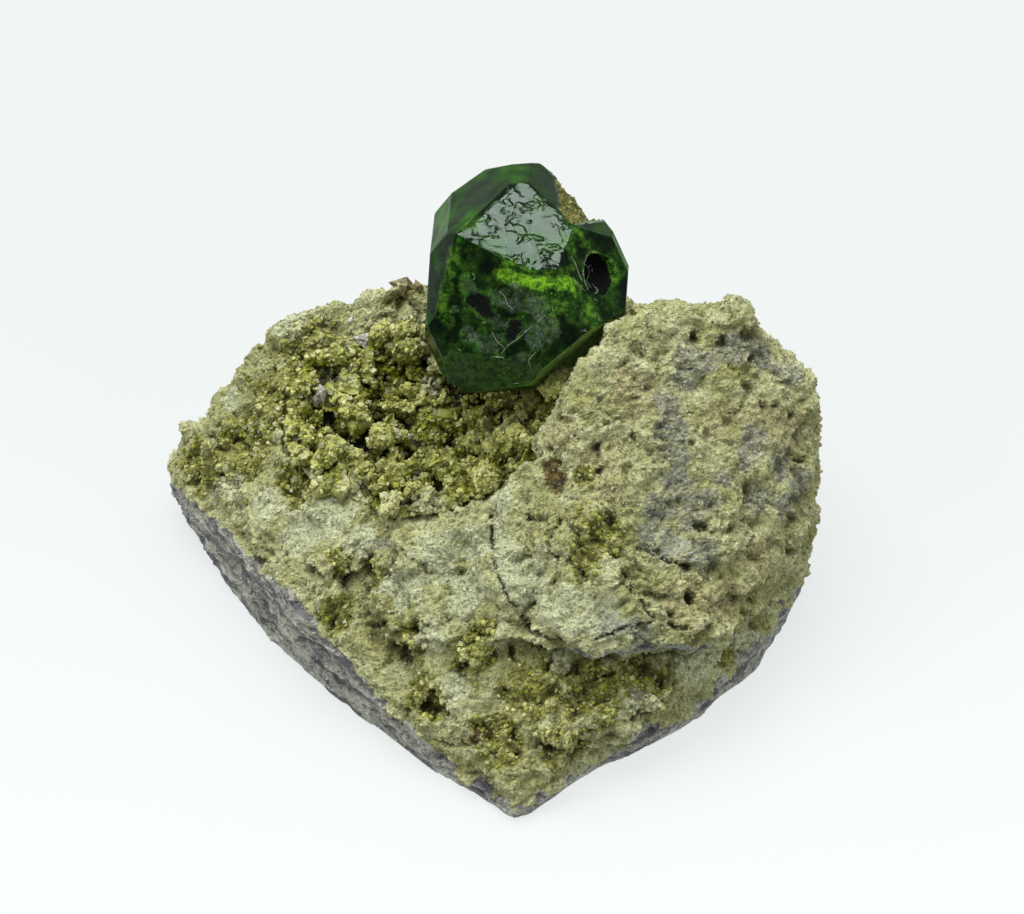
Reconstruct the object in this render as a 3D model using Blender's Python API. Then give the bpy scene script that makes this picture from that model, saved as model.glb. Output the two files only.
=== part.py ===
# A green demantoid garnet crystal seated in a hollow of its matrix rock, at real size in metres, +Z up.
# Lengths below are in millimetres. X runs to the right, Y away from the sharp front corner of the rock, and
# Z up from the flat break that the rock lies on.

import math
import random

import bmesh
import bpy
from mathutils import Euler, Matrix, Vector, noise

MM = 0.001
GAP = 0.3  # air between two pieces that touch in the real specimen

# The crystal is a rhombic dodecahedron (faces such as 1 1 0) cut by a trapezohedron (faces such as 2 1 1).
# All its faces share one lattice, so only the distance of each face from the centre is its own.
CRYSTAL_CENTRE = (1.4, 23.1, 14.5)
CRYSTAL_TURN = (22.4, -13.4, -35.7)  # degrees about X, Y and Z
FACE_DISTANCE = 4.9
FACE_DISTANCES = {
    (1, 1, 2): 4.2,  # the mirror-bright face on top
    (1, -1, 2): 4.7,  # the large front face
    (2, 1, 1): 4.5,  # the right face, with the deep pit
    (1, 2, 1): 4.5,  # the face that the break took away
    (-1, 1, 2): 4.8,
    (-1, -1, 2): 5.3,
    (1, -2, 1): 5.8,
    (2, -1, 1): 5.9,
    (-1, -2, 1): 5.9,
    (0, -1, 1): 5.9,
    (1, -1, 0): 7.0,
    (0, 1, 1): 5.1,
    (1, 1, 0): 5.2,
    (2, -1, -1): 5.0,
    (1, -2, -1): 5.5,
    (2, 1, -1): 5.4,
    (-2, -1, 1): 4.5,
    (-1, 2, 1): 5.8,
    (-2, 1, 1): 5.6,
    (1, 1, -2): 5.3,
    (1, -1, -2): 6.0,
    (-1, 1, 0): 5.7,
}
BREAK_OUTLINE = ((0.7, 7.0), (0.9, 5.9), (2.0, 4.2), (3.1, 2.7), (4.2, 3.1), (8.0, 3.6), (8.0, 8.0))
BREAK_HUB = (7.0, 6.5)  # a point inside the outline that sees all of it
BREAK_LEAN = 40  # degrees that the outline leans back from the ground
BREAK_SWING = -12  # degrees that its walls swing round, so that the broken skin faces a little forward
BREAK_DEPTH = 7.5
BREAK_CELL = 1.0
BREAK_LUMP_SIZE = 0.9
BREAK_ROUGHNESS = 0.25
PIT_CENTRE = (5.3, 21.6, 16.6)
PIT_RADII = (0.95, 1.3, 1.2)

# The rock is a pile of blunt blocks, each the hull of the corners that its break surfaces meet in.
BLOCKS = {
    "base": (
        (-15.6, 20.8, -1), (-13.8, 18.1, -1), (-12.0, 14.8, -1), (-11.3, 11.8, -1), (-8.7, 8.8, -1),
        (-5.2, 6.5, -1), (-1.9, 2.3, -1), (1.2, 0.3, -1), (4.3, 2.3, -1), (9.3, 5.6, -1), (12.3, 9.1, -1),
        (15.3, 14.6, -1), (15.4, 20.0, -1), (12.0, 26.0, -1), (2.0, 28.2, -1), (-8.0, 27.8, -1),
        (-13.5, 25.0, -1), (-16.3, 20.1, 2.3), (-14.6, 18.0, 3.2), (-11.9, 14.0, 3.5), (-9.5, 9.5, 4.8),
        (-6.6, 7.1, 3.3), (-5.0, 5.1, 2.0), (-2.1, 2.8, 1.6), (1.1, 0.2, 0.7), (13.3, 8.7, 3.0),
        (16.0, 15.0, 4.0), (16.0, 21.0, 5.0), (11.0, 27.0, 5.0), (-4.0, 28.4, 6.0), (-13.4, 24.6, 5.6),
    ),
    "left wing": (
        (-16.3, 20.1, 2.5), (-14.6, 18.0, 3.3), (-11.9, 14.0, 3.6), (-9.3, 9.6, 4.9), (-14.7, 21.3, 5.0),
        (-13.2, 23.2, 6.8), (-12.4, 24.0, 7.8), (-11.0, 24.9, 8.7), (-10.0, 25.2, 9.1), (-9.4, 18.0, 7.6),
        (-8.4, 13.4, 6.8), (-6.0, 11.5, 6.8), (-6.0, 26.0, 8.0), (-6.0, 14.0, 2.0), (-8.0, 27.0, 3.0),
    ),
    "back rim": (
        (-11.0, 24.9, 8.5), (-10.0, 25.3, 9.1), (-7.5, 25.6, 8.8), (-5.3, 26.2, 9.7), (-3.3, 26.4, 10.3),
        (3.0, 27.2, 10.4), (7.4, 26.2, 9.6), (8.0, 27.6, 6.0), (-4.0, 28.4, 6.5), (-9.0, 27.4, 6.0),
        (-9.0, 23.5, 7.5), (0.0, 23.5, 9.6), (6.6, 22.5, 10.6), (-9.0, 23.0, 2.0), (7.0, 22.0, 2.0),
    ),
    "crystal seat": (
        (-3.0, 26.0, 9.6), (4.0, 26.4, 10.2), (7.0, 23.0, 11.0), (-3.0, 20.6, 8.6), (3.8, 18.2, 9.8),
        (5.2, 19.4, 10.8), (-2.0, 20.0, 2.0), (4.0, 18.0, 2.0), (6.0, 26.0, 2.0), (-3.0, 26.0, 2.0),
    ),
    "hollow ground": (
        (-10.4, 17.4, 7.4), (-10.6, 22.5, 7.8), (-8.4, 13.4, 6.9), (-5.9, 11.6, 7.2), (-3.2, 13.2, 8.2),
        (0.3, 13.3, 9.0), (4.2, 18.2, 10.2), (-2.8, 24.4, 9.6), (-8.0, 25.0, 9.0), (-9.0, 16.0, 2.0),
        (-4.0, 12.0, 2.0), (2.0, 15.0, 2.0), (0.0, 24.0, 2.0), (-8.0, 24.0, 2.0),
    ),
    "knob": (
        (6.5, 20.2, 15.6), (8.4, 20.9, 15.4), (10.3, 20.7, 15.6), (12.2, 20.5, 15.2), (13.6, 19.9, 13.8),
        (16.1, 18.8, 11.8), (16.6, 17.4, 9.0), (16.1, 15.3, 6.0), (15.6, 13.4, 3.6), (13.2, 8.7, 5.0),
        (10.3, 5.8, 6.6), (5.3, 4.7, 7.6), (3.3, 5.2, 8.0), (0.2, 11.1, 8.6), (-0.3, 12.7, 9.0),
        (5.7, 18.2, 16.0), (4.4, 17.2, 15.9), (3.8, 16.6, 14.9), (2.9, 15.7, 13.7), (1.9, 15.0, 12.2),
        (0.6, 13.3, 10.5),
        (8.6, 24.0, 11.2), (12.4, 23.6, 12.2), (14.6, 22.0, 10.0), (10.0, 26.4, 8.0),
        (14.6, 24.4, 6.0), (1.5, 14.5, 2.0), (8.0, 26.0, 2.0), (14.5, 23.0, 1.0), (10.0, 8.5, 3.0),
        (4.0, 7.5, 3.5),
    ),
    "saddle": (
        (0.4, 11.1, 8.5), (-0.2, 12.8, 8.9), (-3.2, 13.0, 8.1), (-5.9, 11.3, 7.0), (-5.2, 7.8, 5.2),
        (-2.2, 6.5, 6.0), (1.0, 6.6, 7.2), (3.4, 5.6, 7.2), (-6.0, 9.0, 2.0), (2.0, 5.0, 2.0),
        (2.0, 14.0, 2.0), (-4.4, 14.4, 2.0),
    ),
    "front steps": (
        (-4.6, 5.6, 3.6), (-2.6, 4.2, 3.6), (-1.0, 3.0, 3.2), (1.1, 0.6, 1.4), (3.4, 2.6, 3.4),
        (6.2, 4.0, 4.2), (9.6, 5.5, 3.8), (12.4, 8.6, 3.4), (-3.4, 7.6, 5.6), (0.4, 6.4, 5.8),
        (9.0, 8.0, 5.0), (-2.0, 2.6, 0.5), (4.3, 2.4, 0.5), (9.2, 5.5, 0.5),
    ),
}
BLOCK_GRAIN = 0.42  # size of the cells that the blocks are welded in
ROCK_TRIANGLES = 3200

# Lumps that stand out of the rock: centre, radius and how flat it is.
LUMPS = (
    ((-9.6, 24.7, 8.8), 1.4, 0.8), ((-5.6, 25.6, 9.4), 1.1, 1.0), ((-4.4, 26.0, 9.9), 0.7, 1.6),
    ((12.1, 20.5, 14.9), 1.1, 1.0), ((7.2, 22.3, 12.0), 0.6, 1.0), ((-8.4, 11.9, 6.2), 1.2, 0.7),
    ((-3.4, 11.4, 7.9), 1.6, 0.6), ((-0.9, 12.3, 8.7), 1.3, 0.6), ((0.7, 9.4, 8.1), 1.7, 0.6),
    ((15.3, 16.3, 8.6), 1.2, 1.0), ((-13.8, 20.9, 4.9), 1.0, 0.7), ((3.6, 3.2, 3.6), 1.1, 0.6),
)

# Hollows worn into the rock: centre, radii and turn about Z in degrees.
HOLLOWS = (
    ((1.9, 5.1, 5.8), (2.4, 1.7, 0.9), -10), ((5.1, 4.5, 5.4), (2.4, 2.0, 1.2), 4),
    ((8.3, 5.1, 5.0), (2.3, 1.9, 1.0), 18), ((-3.2, 4.3, 3.4), (1.4, 0.9, 0.6), 40),
    ((-6.9, 11.8, 7.2), (0.35, 1.0, 1.0), -20),
    ((4.4, 9.3, 9.5), (0.28, 2.0, 1.0), 35), ((6.6, 8.0, 9.7), (0.3, 1.7, 1.0), -50),
    ((10.4, 20.0, 16.0), (0.9, 0.35, 0.7), 0),
)

# The druse hollow: an uneven bowl, lined with a crust of small garnets.
BOWL_CENTRE = (-4.8, 18.3, 11.0)
BOWL_RADII = (8.8, 6.4, 5.2)
BOWL_LUMPS = 1.2
BOWL_LUMP_SIZE = 2.1
CRUST_THICKNESS = 0.8
CRUST_SHOULDER = 0.12  # how far the garnets stop short of the crust's hidden side
CRUST_LUMPS = (((-3.3, 23.3, 9.0), 0.85), ((-3.0, 22.0, 8.5), 0.8), ((-2.6, 20.6, 7.9), 0.75))
DRUSE_COUNT = 80
DRUSE_RADII = (0.5, 0.9)
MATRIX_GARNET_COUNT = 36
MATRIX_GARNET_RADII = (0.32, 0.55)

SEED = 7


def clear_scene():
    for thing in list(bpy.data.objects):
        bpy.data.objects.remove(thing, do_unlink=True)


def vector(point):
    return Vector(point) * MM


def object_of(bm, name):
    """Turns a bmesh into an object of the scene."""
    mesh = bpy.data.meshes.new(name)
    bm.to_mesh(mesh)
    bm.free()
    thing = bpy.data.objects.new(name, mesh)
    bpy.context.scene.collection.objects.link(thing)
    return thing


def remove(thing):
    bpy.data.objects.remove(thing, do_unlink=True)


def settle(thing):
    """Puts what the modifiers show into the object's own mesh."""
    depsgraph = bpy.context.evaluated_depsgraph_get()
    mesh = bpy.data.meshes.new_from_object(thing.evaluated_get(depsgraph))
    thing.modifiers.clear()
    thing.data = mesh


def combine(thing, other, operation, crossing=False):
    """Cuts, joins or trims a body with another, which is used up."""
    step = thing.modifiers.new(operation, "BOOLEAN")
    step.object = other
    step.operation = operation
    step.use_self = crossing
    settle(thing)
    remove(other)


def thin_out(thing, triangles):
    """Lowers a body's count of triangles where its surface is flattest."""
    thing.data.calc_loop_triangles()
    step = thing.modifiers.new("Thin out", "DECIMATE")
    step.ratio = min(1.0, triangles / len(thing.data.loop_triangles))
    settle(thing)


def weld_cells(thing, size):
    """Makes crossing shells one skin of even cells."""
    step = thing.modifiers.new("Weld", "REMESH")
    step.mode = "VOXEL"
    step.voxel_size = size * MM
    settle(thing)


def keep_largest(thing):
    """Drops crumbs that a cut left loose."""
    bm = bmesh.new()
    bm.from_mesh(thing.data)
    left = set(bm.verts)
    groups = []
    while left:
        group = []
        queue = [left.pop()]
        while queue:
            vert = queue.pop()
            group.append(vert)
            for edge in vert.link_edges:
                other = edge.other_vert(vert)
                if other in left:
                    left.remove(other)
                    queue.append(other)
        groups.append(group)
    groups.sort(key=len)
    for group in groups[:-1]:
        bmesh.ops.delete(bm, geom=group, context="VERTS")
    bm.to_mesh(thing.data)
    bm.free()


def clean(thing, distance=0.0005):
    """Joins points that lie almost together and leaves plain triangles."""
    bm = bmesh.new()
    bm.from_mesh(thing.data)
    bmesh.ops.dissolve_limit(bm, verts=bm.verts, edges=bm.edges, angle_limit=math.radians(0.6))
    bmesh.ops.remove_doubles(bm, verts=bm.verts, dist=distance * MM)
    bmesh.ops.dissolve_degenerate(bm, edges=bm.edges, dist=distance * MM)
    bmesh.ops.triangulate(bm, faces=bm.faces)
    bm.to_mesh(thing.data)
    bm.free()


def lattice_directions():
    """The outward directions of all 36 faces: 12 of the dodecahedron, 24 of the trapezohedron."""
    found = []
    steps = range(-2, 3)
    for h in steps:
        for k in steps:
            for l in steps:
                if sorted(map(abs, (h, k, l))) in ([0, 1, 1], [1, 1, 2]):
                    found.append((h, k, l))
    return found


def grown_crystal(name, extra=0.0):
    """The whole crystal, each face moved out by extra."""
    turn = Euler([math.radians(angle) for angle in CRYSTAL_TURN], "XYZ").to_matrix()
    centre = vector(CRYSTAL_CENTRE)
    bm = bmesh.new()
    bmesh.ops.create_cube(bm, size=30 * MM, matrix=Matrix.Translation(centre))
    for face in lattice_directions():
        outward = turn @ Vector(face).normalized()
        distance = (FACE_DISTANCES.get(face, FACE_DISTANCE) + extra) * MM
        everything = bm.verts[:] + bm.edges[:] + bm.faces[:]
        cut = bmesh.ops.bisect_plane(
            bm, geom=everything, plane_co=centre + outward * distance, plane_no=outward, clear_outer=True
        )
        rim = [part for part in cut["geom_cut"] if isinstance(part, bmesh.types.BMEdge)]
        if rim:
            bmesh.ops.contextual_create(bm, geom=rim)
    bmesh.ops.remove_doubles(bm, verts=bm.verts, dist=0.01 * MM)
    bmesh.ops.recalc_face_normals(bm, faces=bm.faces)
    return object_of(bm, name)


def rough_prism(outline, hub, lean, swing, centre, depth, cell, roughness):
    """An outline pulled both ways along its own Z, with its walls in small triangles that noise shakes."""
    ring = []
    for start, end in zip(outline, outline[1:] + outline[:1]):
        count = max(1, round(math.dist(start, end) / cell))
        ring += [Vector(start).lerp(Vector(end), i / count) for i in range(count)]
    rows = round(2 * depth / cell)
    bm = bmesh.new()
    layers = []
    for row in range(rows + 1):
        height = depth * (2 * row / rows - 1)
        layers.append([bm.verts.new((point.x, point.y, height)) for point in ring])
    following = list(range(1, len(ring))) + [0]
    for lower, upper in zip(layers, layers[1:]):
        for i, j in enumerate(following):
            bm.faces.new((lower[i], lower[j], upper[j]))
            bm.faces.new((lower[i], upper[j], upper[i]))
    for layer, height in ((layers[0], -depth), (layers[-1], depth)):
        tip = bm.verts.new((*hub, height))
        for i, j in enumerate(following):
            bm.faces.new((layer[i], layer[j], tip))
    bmesh.ops.recalc_face_normals(bm, faces=bm.faces)
    for vert in bm.verts:
        place = vert.co / BREAK_LUMP_SIZE
        shake = Vector(noise.noise(place + Vector((shift, shift, shift))) for shift in (0.0, 31.7, 64.3))
        vert.co = (vert.co + shake * roughness) * MM
    tilt = Matrix.Rotation(math.radians(lean), 4, "X") @ Matrix.Rotation(math.radians(swing), 4, "Y")
    bmesh.ops.transform(bm, matrix=Matrix.Translation(vector(centre)) @ tilt, verts=bm.verts)
    return object_of(bm, "Break")


def rough_ball(name, centre, radii, turn=0.0, lumps=0.0, lump_size=1.0, inset=0.0, steps=3):
    """An uneven ellipsoid. The inset is taken off along the ellipsoid's own outward direction."""
    bm = bmesh.new()
    bmesh.ops.create_icosphere(bm, subdivisions=steps, radius=1.0)
    spin = Matrix.Rotation(math.radians(turn), 3, "Z")
    for vert in bm.verts:
        unit = vert.co.copy()
        point = Vector(unit[i] * radii[i] for i in range(3))
        outward = Vector(unit[i] / radii[i] for i in range(3)).normalized()
        shake = noise.noise(point / lump_size + Vector(centre)) * lumps
        vert.co = (Vector(centre) + spin @ (point + outward * (shake - inset))) * MM
    return object_of(bm, name)


def rock_block(name, corners):
    bm = bmesh.new()
    for corner in corners:
        bm.verts.new(vector(corner))
    hull = bmesh.ops.convex_hull(bm, input=bm.verts)
    spare = {part for part in hull["geom_interior"] + hull["geom_unused"] if isinstance(part, bmesh.types.BMVert)}
    bmesh.ops.delete(bm, geom=list(spare), context="VERTS")
    bmesh.ops.recalc_face_normals(bm, faces=bm.faces)
    return object_of(bm, name)


def weather(thing):
    """Breaks up the rock's skin: broad lumps, then grains, weaker on the fresh grey break at the lower left."""
    bm = bmesh.new()
    bm.from_mesh(thing.data)
    bm.normal_update()
    moves = []
    for vert in bm.verts:
        place = vert.co / MM
        outward = vert.normal
        on_break = outward.z < 0.45 and outward.x + outward.y < -0.5 and place.x < 0
        strength = 0.35 if on_break else 1.0
        broad = noise.noise(place / 4.2) * 0.9
        grain = abs(noise.noise(place / 1.5)) * 0.9 - 0.2
        moves.append(outward * (broad + grain) * 0.5 * strength * MM)
    for vert, move in zip(bm.verts, moves):
        vert.co += move
    bm.to_mesh(thing.data)
    bm.free()


def rock_body():
    """The welded blocks and lumps, weathered, before the hollows are cut."""
    bm = bmesh.new()
    shells = [rock_block(name, corners) for name, corners in BLOCKS.items()]
    for centre, radius, flatness in LUMPS:
        radii = (radius, radius, radius * flatness)
        shells.append(rough_ball("Lump", centre, radii, lumps=radius * 0.4, lump_size=radius))
    for shell in shells:
        bm.from_mesh(shell.data)
        remove(shell)
    body = object_of(bm, "Rock body")
    weld_cells(body, BLOCK_GRAIN)
    weather(body)
    thin_out(body, ROCK_TRIANGLES)
    keep_largest(body)
    return body


def bowl(inset):
    return rough_ball(
        "Bowl", BOWL_CENTRE, BOWL_RADII, lumps=BOWL_LUMPS, lump_size=BOWL_LUMP_SIZE, inset=inset, steps=3
    )


def copy_of(thing, name):
    twin = thing.copy()
    twin.data = thing.data.copy()
    twin.name = name
    bpy.context.scene.collection.objects.link(twin)
    return twin


def small_garnet(bm, centre, radius, turn):
    """Adds one rhombic dodecahedron: the eight corners of a cube and the six tips over its sides."""
    corners = [Vector((x, y, z)) for x in (-1, 1) for y in (-1, 1) for z in (-1, 1)]
    tips = [Vector(tip) for tip in ((2, 0, 0), (-2, 0, 0), (0, 2, 0), (0, -2, 0), (0, 0, 2), (0, 0, -2))]
    verts = [bm.verts.new(centre + turn @ point * (radius / 2)) for point in corners + tips]
    bmesh.ops.convex_hull(bm, input=verts)


def scatter(thing, count, radii, chance, dice, embed):
    """A cloud of small garnets half sunk in the faces of a body. chance says how readily a face takes one."""
    mesh = thing.data
    mesh.calc_loop_triangles()
    places = []
    weights = []
    for triangle in mesh.loop_triangles:
        middle = triangle.center / MM
        readiness = chance(middle, triangle.normal)
        if readiness > 0:
            places.append((triangle.center.copy(), triangle.normal.copy()))
            weights.append(readiness * triangle.area)
    bm = bmesh.new()
    chosen = []
    tries = 0
    while len(chosen) < count and tries < count * 60:
        tries += 1
        centre, outward = dice.choices(places, weights)[0]
        radius = dice.uniform(*radii) * MM
        if any((centre - other).length < (radius + reach) * 0.72 for other, reach in chosen):
            continue
        chosen.append((centre, radius))
        turn = Euler([dice.uniform(0, math.tau) for _ in range(3)]).to_matrix()
        small_garnet(bm, centre + outward * radius * embed, radius, turn)
    return object_of(bm, "Garnets")


def chance_in_crust(place, outward):
    """Only the open side of the crust, which faces the middle of the bowl."""
    towards = (Vector(BOWL_CENTRE) - place).normalized()
    return 1.0 if towards.dot(outward) > 0.35 and outward.z > -0.2 else 0.0


def chance_on_rock(place, outward):
    """The left wing and the overhung band at the front, away from the crust and from the base."""
    if (place - Vector(CRYSTAL_CENTRE)).length < 7.5 or outward.z < 0.05:
        return 0.0
    bowl_place = place - Vector(BOWL_CENTRE)
    if sum((bowl_place[i] / BOWL_RADII[i]) ** 2 for i in range(3)) < 1.1:
        return 0.0
    on_wing = place.x < -7 and place.y > 12 and place.z > 4.0
    in_band = -2 < place.x < 10 and place.y < 7 and 4.0 < place.z < 7.0
    return 1.0 if on_wing or in_band else 0.0


def ground_cut():
    bm = bmesh.new()
    bmesh.ops.create_cube(bm, size=1.0)
    bmesh.ops.scale(bm, verts=bm.verts, vec=(80 * MM, 80 * MM, 10 * MM))
    bmesh.ops.translate(bm, verts=bm.verts, vec=(0, 0, -5 * MM))
    return object_of(bm, "Ground")


def make_crystal():
    """The garnet, with its broken corner and the deep pit in its right face."""
    crystal = grown_crystal("demantoid_crystal")
    corner = rough_prism(
        BREAK_OUTLINE, BREAK_HUB, BREAK_LEAN, BREAK_SWING, CRYSTAL_CENTRE, BREAK_DEPTH, BREAK_CELL, BREAK_ROUGHNESS
    )
    combine(crystal, corner, "DIFFERENCE")
    pit = rough_ball("Pit", PIT_CENTRE, PIT_RADII, turn=-20, lumps=0.2, lump_size=0.8, steps=2)
    combine(crystal, pit, "DIFFERENCE")
    keep_largest(crystal)
    clean(crystal)
    return crystal


def make_rock(body, dice):
    rock = copy_of(body, "matrix_rock")
    garnets = scatter(rock, MATRIX_GARNET_COUNT, MATRIX_GARNET_RADII, chance_on_rock, dice, 0.15)
    combine(rock, garnets, "UNION", crossing=True)
    for centre, radii, turn in HOLLOWS:
        hollow = rough_ball("Hollow", centre, radii, turn=turn, lumps=min(radii) * 0.4, lump_size=0.8, steps=2)
        combine(rock, hollow, "DIFFERENCE")
    combine(rock, bowl(0.0), "DIFFERENCE")
    combine(rock, grown_crystal("Seat", GAP), "DIFFERENCE")
    combine(rock, ground_cut(), "DIFFERENCE")
    keep_largest(rock)
    clean(rock)
    return rock


def make_druse(body, dice):
    """The crust that lines the bowl where the bowl cuts the rock, with small garnets grown out of it."""
    druse = copy_of(body, "garnet_druse")
    combine(druse, bowl(GAP), "INTERSECT")
    combine(druse, bowl(GAP + CRUST_THICKNESS), "DIFFERENCE")
    keep_largest(druse)
    garnets = scatter(druse, DRUSE_COUNT, DRUSE_RADII, chance_in_crust, dice, 0.1)
    combine(garnets, bowl(GAP + CRUST_SHOULDER), "INTERSECT", crossing=True)
    combine(druse, garnets, "UNION", crossing=True)
    for centre, radius in CRUST_LUMPS:
        lump = rough_ball("Lump", centre, (radius,) * 3, lumps=radius * 0.3, lump_size=0.8, steps=2)
        combine(lump, bowl(GAP + CRUST_SHOULDER), "INTERSECT")
        combine(druse, lump, "UNION")
    combine(druse, grown_crystal("Seat", GAP), "DIFFERENCE")
    keep_largest(druse)
    clean(druse)
    return druse


def finish_piece(thing, colour, roughness, transmission=0.0, ior=1.5):
    material = bpy.data.materials.new(thing.name)
    material.use_nodes = True
    shader = material.node_tree.nodes["Principled BSDF"]
    shader.inputs["Base Color"].default_value = (*colour, 1.0)
    shader.inputs["Roughness"].default_value = roughness
    shader.inputs["Metallic"].default_value = 0.0
    shader.inputs["Transmission Weight"].default_value = transmission
    shader.inputs["IOR"].default_value = ior
    material.diffuse_color = (*colour, 1.0)
    thing.data.materials.clear()
    thing.data.materials.append(material)


def stand_on_origin(things):
    """Moves the specimen so that the middle of its box is over the origin and it rests at height zero."""
    points = [corner.co for thing in things for corner in thing.data.vertices]
    low = Vector(min(point[i] for point in points) for i in range(3))
    high = Vector(max(point[i] for point in points) for i in range(3))
    middle = (low + high) / 2
    for thing in things:
        thing.location = (-middle.x, -middle.y, -low.z)


def build():
    clear_scene()
    dice = random.Random(SEED)
    crystal = make_crystal()
    body = rock_body()
    rock = make_rock(body, dice)
    druse = make_druse(body, dice)
    remove(body)
    finish_piece(crystal, (0.012, 0.12, 0.02), 0.06, transmission=1.0, ior=1.88)
    finish_piece(rock, (0.33, 0.34, 0.20), 0.9)
    finish_piece(druse, (0.22, 0.24, 0.05), 0.45)
    stand_on_origin([crystal, rock, druse])
    bpy.context.view_layer.update()


build()
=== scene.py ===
import math

import bmesh
import bpy
import numpy as np
from mathutils import Euler, Matrix, Vector, noise
from mathutils.bvhtree import BVHTree


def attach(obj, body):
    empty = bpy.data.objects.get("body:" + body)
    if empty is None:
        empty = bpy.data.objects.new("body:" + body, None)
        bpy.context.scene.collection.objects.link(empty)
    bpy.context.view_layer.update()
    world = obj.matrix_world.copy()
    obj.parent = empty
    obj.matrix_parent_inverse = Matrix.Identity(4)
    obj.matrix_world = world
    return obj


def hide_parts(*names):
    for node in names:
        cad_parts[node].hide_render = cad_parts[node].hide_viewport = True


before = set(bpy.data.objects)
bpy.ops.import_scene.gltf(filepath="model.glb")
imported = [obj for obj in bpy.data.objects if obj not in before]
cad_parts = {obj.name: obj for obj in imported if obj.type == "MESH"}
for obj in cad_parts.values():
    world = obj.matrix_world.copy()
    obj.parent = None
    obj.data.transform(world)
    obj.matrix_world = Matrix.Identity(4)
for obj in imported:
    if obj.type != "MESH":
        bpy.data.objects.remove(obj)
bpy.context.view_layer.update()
mm = 0.001
print("frame loaded:", ", ".join(sorted(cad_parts)))


def newPiece(name, data):
    piece = bpy.data.objects.new(name, data)
    bpy.context.scene.collection.objects.link(piece)
    return piece


# Camera, at the photograph's own angle

view = {
    "lean": 50,  # degrees above the ground
    "distance": 1.0,
    "aim": (0.9, 2.62, 8.0),  # mm, the point in the middle of the picture
    "pixelsPerMm": 20,
    "pictureWidth": 1024,
    "pictureHeight": 914,
    "sensor": 36,  # mm
}
lean = math.radians(view["lean"])
lookAlong = Vector((0, math.cos(lean), -math.sin(lean)))
lookUp = Vector((0, math.sin(lean), math.cos(lean)))
aim = Vector(view["aim"]) * mm
eye = aim - lookAlong * view["distance"]


def makeCamera():
    data = bpy.data.cameras.new("camera")
    data.sensor_width = view["sensor"]
    data.lens = view["sensor"] * view["distance"] / (view["pictureWidth"] / view["pixelsPerMm"] * mm)
    camera = newPiece("camera", data)
    camera.location = eye
    camera.rotation_euler = lookAlong.to_track_quat("-Z", "Y").to_euler()
    bpy.context.scene.camera = camera


def photoRay(x, y):
    # direction from the eye through a pixel of the photograph
    right = (x - view["pictureWidth"] / 2) / view["pixelsPerMm"] * mm
    up = (view["pictureHeight"] / 2 - y) / view["pixelsPerMm"] * mm
    return (lookAlong * view["distance"] + Vector((right, 0, 0)) + lookUp * up).normalized()


def pixelsOf(points):
    # where points in mm fall in the photograph
    away = points * mm - np.array(eye)
    scale = view["distance"] / (away @ np.array(lookAlong)) * view["pixelsPerMm"] / mm
    across = view["pictureWidth"] / 2 + away[:, 0] * scale
    down = view["pictureHeight"] / 2 - away @ np.array(lookUp) * scale
    return across, down


makeCamera()
print("camera made")


# Meshes: copies of the solids, smoothing over their edges and fields of noise

touching = 0.0001  # mm, points closer than this are one


def meshFrom(bm, name):
    mesh = bpy.data.meshes.new(name)
    bm.to_mesh(mesh)
    bm.free()
    return mesh


def mergedCopy(node, name):
    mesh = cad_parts[node].data.copy()
    mesh.name = name
    bm = bmesh.new()
    bm.from_mesh(mesh)
    bmesh.ops.remove_doubles(bm, verts=bm.verts, dist=touching * mm)
    bm.to_mesh(mesh)
    bm.free()
    mesh.materials.clear()
    return newPiece(name, mesh)


def evaluatedMesh(piece):
    graph = bpy.context.evaluated_depsgraph_get()
    return bpy.data.meshes.new_from_object(piece.evaluated_get(graph), depsgraph=graph)


def pointsOf(mesh):
    flat = np.empty(len(mesh.vertices) * 3, np.float32)
    mesh.vertices.foreach_get("co", flat)
    return flat.reshape(-1, 3).astype(float) / mm


def setPoints(mesh, points):
    mesh.vertices.foreach_set("co", (points * mm).astype(np.float32).ravel())
    mesh.update()


def normalsOf(mesh):
    flat = np.empty(len(mesh.vertices) * 3, np.float32)
    mesh.vertex_normals.foreach_get("vector", flat)
    return flat.reshape(-1, 3).astype(float)


def smoothed(mesh, values, passes, keep=0.4):
    # values drawn towards the mean of their neighbours along the edges
    ends = np.empty(len(mesh.edges) * 2, np.int32)
    mesh.edges.foreach_get("vertices", ends)
    a, b = ends.reshape(-1, 2).T
    count = len(mesh.vertices)
    degree = np.bincount(a, minlength=count) + np.bincount(b, minlength=count)
    columns = [values] if values.ndim == 1 else list(values.T)
    for _ in range(passes):
        columns = [
            keep * c + (1 - keep) * (np.bincount(a, c[b], count) + np.bincount(b, c[a], count)) / degree
            for c in columns
        ]
    return columns[0] if values.ndim == 1 else np.array(columns).T


def fineCopy(node, name, kind):
    # a solid in fine even cells, and where its points lie and face
    piece = mergedCopy(node, name)
    step = piece.modifiers.new("fine cells", "REMESH")
    step.mode = "VOXEL"
    step.voxel_size = kind["cell"] * mm
    mesh = evaluatedMesh(piece)
    piece.modifiers.clear()
    piece.data = mesh
    points = smoothed(mesh, pointsOf(mesh), kind["soften"])
    setPoints(mesh, points)
    facing = smoothed(mesh, normalsOf(mesh), kind["facingPasses"])
    return piece, points, facing / np.linalg.norm(facing, axis=1)[:, None]


def fieldOf(points, size, formula, shift=0.0, stretch=(1, 1, 1)):
    places = (points + shift) / size * np.array(stretch)
    return np.array([formula(Vector(p)) for p in places])


def fractal(p):
    return noise.fractal(p, 0.9, 2.0, 4)  # fading, step in size and layers


def ridges(p):
    return noise.ridged_multi_fractal(p, 1.0, 2.0, 3, 1.0, 2.0)  # the same three, then level and gain


def cells(p):
    return noise.voronoi(p)[0][0]


def crease(p):
    # nothing in the groove between two cells, and the same height all over their middles
    near, second = noise.voronoi(p)[0][:2]
    return min(second - near, 0.5)


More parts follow.
